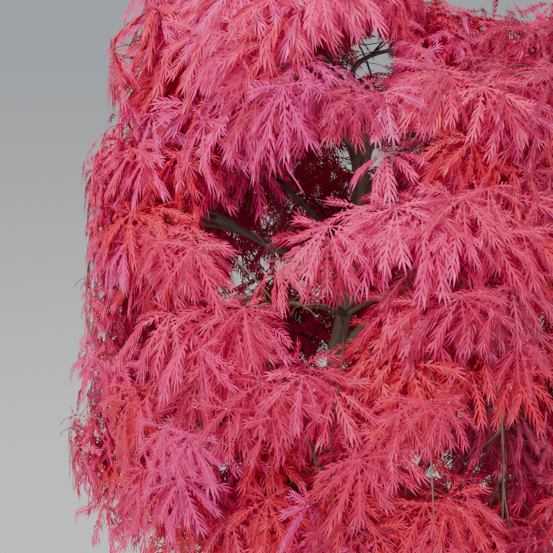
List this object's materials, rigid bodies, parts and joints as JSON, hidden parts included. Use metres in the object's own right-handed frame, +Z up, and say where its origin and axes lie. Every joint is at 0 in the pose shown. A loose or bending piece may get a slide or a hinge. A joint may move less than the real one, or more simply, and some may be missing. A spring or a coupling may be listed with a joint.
{
  "type": "potted weeping japanese maple",
  "caption": "Weeping cut-leaf Japanese maple in crimson autumn leaf, hanging in tiers from one slender trunk over a plain round clay pot with a flat foot.",
  "frame": {"origin": "centre of the pot's flat underside, on the ground", "axes": "+Z up; the front of the plant faces -Y; +X to the right as the front is looked at"},
  "size_m": [0.6505, 0.6488, 1.0309],
  "materials": {
    "foliage": "satin",
    "bark": "matte",
    "clay": "matte",
    "soil": "matte"
  },
  "bodies": {
    "root": {"bough_crest_1": "bark", "bough_crest_2": "bark", "bough_crest_3": "bark", "bough_middle_1": "bark", "bough_middle_1_a": "bark", "bough_middle_1_b": "bark", "bough_middle_2": "bark", "bough_middle_2_a": "bark", "bough_middle_2_b": "bark", "bough_middle_3": "bark", "bough_middle_3_a": "bark", "bough_middle_3_b": "bark", "bough_middle_4": "bark", "bough_middle_4_a": "bark", "bough_middle_4_b": "bark", "bough_shoulder_1": "bark", "bough_top_1": "bark", "bough_upper_1": "bark", "bough_upper_1_a": "bark", "bough_upper_1_b": "bark", "bough_upper_2": "bark", "bough_upper_2_a": "bark", "bough_upper_2_b": "bark", "bough_upper_3": "bark", "bough_upper_3_a": "bark", "bough_upper_3_b": "bark", "bough_upper_4": "bark", "foliage_crest_1": "foliage", "foliage_crest_2": "foliage", "foliage_crest_3": "foliage", "foliage_middle_1": "foliage", "foliage_middle_2": "foliage", "foliage_middle_3": "foliage", "foliage_middle_4": "foliage", "foliage_middle_5": "foliage", "foliage_middle_6": "foliage", "foliage_middle_7": "foliage", "foliage_middle_8": "foliage", "foliage_shoulder_1": "foliage", "foliage_skirt_1": "foliage", "foliage_skirt_2": "foliage", "foliage_skirt_3": "foliage", "foliage_skirt_4": "foliage", "foliage_skirt_5": "foliage", "foliage_skirt_6": "foliage", "foliage_skirt_7": "foliage", "foliage_skirt_8": "foliage", "foliage_skirt_9": "foliage", "foliage_top_1": "foliage", "foliage_upper_1": "foliage", "foliage_upper_2": "foliage", "foliage_upper_3": "foliage", "foliage_upper_4": "foliage", "foliage_upper_5": "foliage", "foliage_upper_6": "foliage", "foliage_upper_7": "foliage", "pot": "clay", "soil": "soil", "trunk": "bark"}
  },
  "joints": []
}
